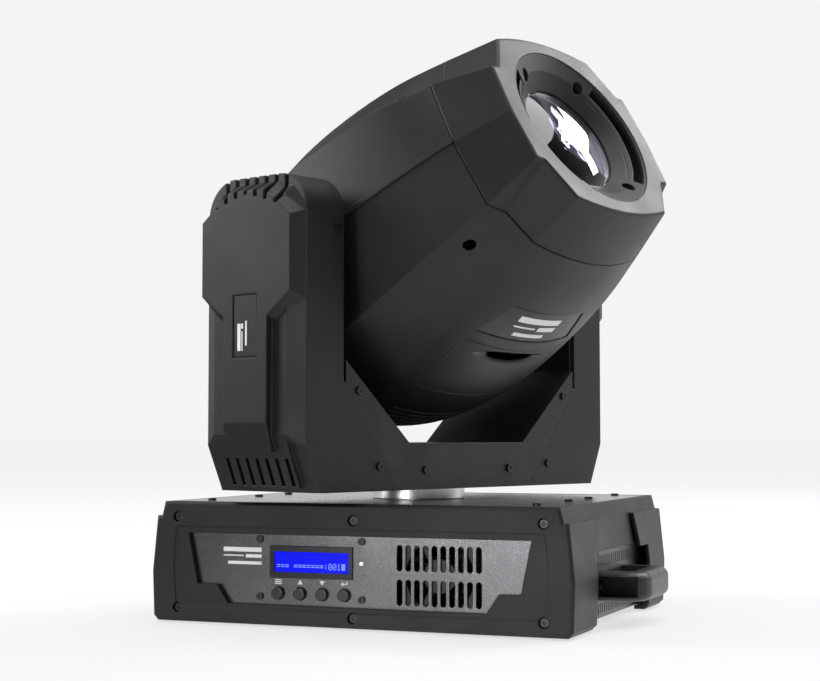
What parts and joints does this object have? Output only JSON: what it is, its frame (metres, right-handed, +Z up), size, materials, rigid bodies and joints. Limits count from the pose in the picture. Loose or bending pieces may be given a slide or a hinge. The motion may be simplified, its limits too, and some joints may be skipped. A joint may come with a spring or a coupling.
{
  "type": "moving head light",
  "caption": "Stage moving head light: flat base with display and handles, a panning yoke and a faceted tilting head with a large front lens.",
  "frame": {"origin": "on the pan axis, in the plane that the rubber feet rest on", "axes": "+Z up along the pan axis, +X to the right along the control panel, -Y out of the control panel"},
  "size_m": [0.4276, 0.4144, 0.4688],
  "materials": {
    "shell_plastic": "fine matte grain, near black",
    "head_plastic": "fine matte grain, near black",
    "chassis_paint": "satin black powder coat",
    "panel_paint": "textured metallic dark grey",
    "yoke_paint": "textured metallic dark grey",
    "top_metal": "satin dark metallic",
    "black_screw": "blackened",
    "steel": "brushed",
    "bright_aluminium": "turned bright",
    "plain_aluminium": "mill finish",
    "handle_plastic": "leathery moulded texture",
    "rubber": "matte",
    "belt_rubber": "matte",
    "display_frame": "satin black",
    "display_blue": "backlit blue",
    "led_red": "clear red",
    "button_plastic": "satin black",
    "board_green": "solder mask",
    "black_plastic": "moulded",
    "motor_black": "satin",
    "supply_metal": "perforated case",
    "ring_plastic": "satin dark grey",
    "lens_glass": "coated optical glass",
    "mirror_glass": "dichroic coated",
    "lamp_glass": "quartz",
    "wheel_glass": "dichroic filters"
  },
  "bodies": {
    "base": {"base_chassis": "chassis_paint", "front_shell": "shell_plastic", "rear_shell": "shell_plastic", "side_cover_left": "shell_plastic", "side_cover_right": "shell_plastic", "top_plate_front": "top_metal", "top_plate_rear": "top_metal", "base_screws": "black_screw", "rubber_feet": "rubber", "clamp_receptacles": "steel", "handle_left": "handle_plastic", "handle_right": "handle_plastic", "control_panel": "panel_paint", "display_bezel": "display_frame", "display_glass": "display_blue", "status_led": "led_red", "control_board": "board_green", "base_fan_frame": "black_plastic", "rear_panel": "panel_paint", "power_inlet": "black_plastic", "fuse_holder": "black_plastic", "dmx_sockets": "steel", "power_supply": "supply_metal", "lamp_ballast": "supply_metal", "main_board": "board_green", "pan_bearing": "steel", "pan_bridge": "steel", "pan_motor": "motor_black", "pan_belt": "belt_rubber"},
    "yoke": {"pan_hub": "bright_aluminium", "pan_pulley": "plain_aluminium", "yoke_frame": "yoke_paint", "yoke_plates": "yoke_paint", "yoke_screws": "black_screw", "arm_cover_left": "head_plastic", "arm_cover_right": "head_plastic", "tilt_bearings": "steel", "tilt_motor": "motor_black", "tilt_belt": "belt_rubber"},
    "head": {"head_frame": "plain_aluminium", "tilt_pulley": "plain_aluminium", "head_upper_cover": "head_plastic", "head_lower_cover": "head_plastic", "lamp_hatch": "head_plastic", "front_bezel": "head_plastic", "lens_ring": "ring_plastic", "front_lens": "lens_glass", "reflector": "mirror_glass", "lamp": "lamp_glass"},
    "mode_button": {"button_mode": "button_plastic"},
    "up_button": {"button_up": "button_plastic"},
    "down_button": {"button_down": "button_plastic"},
    "enter_button": {"button_enter": "button_plastic"},
    "base_fan": {"base_fan_rotor": "black_plastic"},
    "pan_pinion": {"pan_motor_pulley": "plain_aluminium"},
    "tilt_pinion": {"tilt_motor_pulley": "plain_aluminium"},
    "colour_disc": {"colour_wheel": "wheel_glass"},
    "gobo_disc": {"gobo_wheel": "steel"},
    "focus": {"focus_carriage": "plain_aluminium"},
    "head_fan": {"head_fan_rotor": "black_plastic"}
  },
  "joints": [
    {"name": "pan", "type": "hinge", "parent": "base", "child": "yoke", "pos_m": [0, 0, 0.1073], "axis": [0, 0, 1], "range_deg": [-340.4, 199.6]},
    {"name": "tilt", "type": "hinge", "parent": "yoke", "child": "head", "pos_m": [0, 0, 0.2961], "axis": [0.3348, 0.9423, 0], "range_deg": [-174.1, 53.9]},
    {"name": "mode_press", "type": "slide", "parent": "base", "child": "mode_button", "axis": [0, 1, 0], "range_m": [0, 0.0012], "stiffness_N_per_m": 600},
    {"name": "up_press", "type": "slide", "parent": "base", "child": "up_button", "axis": [0, 1, 0], "range_m": [0, 0.0012], "stiffness_N_per_m": 600},
    {"name": "down_press", "type": "slide", "parent": "base", "child": "down_button", "axis": [0, 1, 0], "range_m": [0, 0.0012], "stiffness_N_per_m": 600},
    {"name": "enter_press", "type": "slide", "parent": "base", "child": "enter_button", "axis": [0, 1, 0], "range_m": [0, 0.0012], "stiffness_N_per_m": 600},
    {"name": "base_fan_spin", "type": "hinge", "parent": "base", "child": "base_fan", "pos_m": [0.0694, -0.1235, 0.0434], "axis": [0, 1, 0], "continuous": true},
    {"name": "pan_motor_spin", "type": "hinge", "parent": "base", "child": "pan_pinion", "pos_m": [0, 0.088, 0.056], "axis": [0, 0, 1], "range_deg": [-1589.5, 932.5]},
    {"name": "tilt_motor_spin", "type": "hinge", "parent": "yoke", "child": "tilt_pinion", "pos_m": [-0.05474, -0.15407, 0.148], "axis": [0.3348, 0.9423, 0], "range_deg": [-653.9, 203.1]},
    {"name": "colour_wheel_spin", "type": "hinge", "parent": "head", "child": "colour_disc", "pos_m": [0.0057, -0.00202, 0.26151], "axis": [0.8169, -0.2902, 0.4985], "continuous": true},
    {"name": "gobo_wheel_spin", "type": "hinge", "parent": "head", "child": "gobo_disc", "pos_m": [0.0204, -0.00725, 0.27048], "axis": [0.8169, -0.2902, 0.4985], "continuous": true},
    {"name": "focus_travel", "type": "slide", "parent": "head", "child": "focus", "axis": [0.8169, -0.2902, 0.4985], "range_m": [-0.018, 0.05]},
    {"name": "head_fan_spin", "type": "hinge", "parent": "head", "child": "head_fan", "pos_m": [-0.09843, 0.03497, 0.23603], "axis": [0.8169, -0.2902, 0.4985], "continuous": true}
  ],
  "couplings": [
    {"joint": "pan_motor_spin", "follows": "pan", "ratio": 4.6667},
    {"joint": "tilt_motor_spin", "follows": "tilt", "ratio": 3.75}
  ]
}
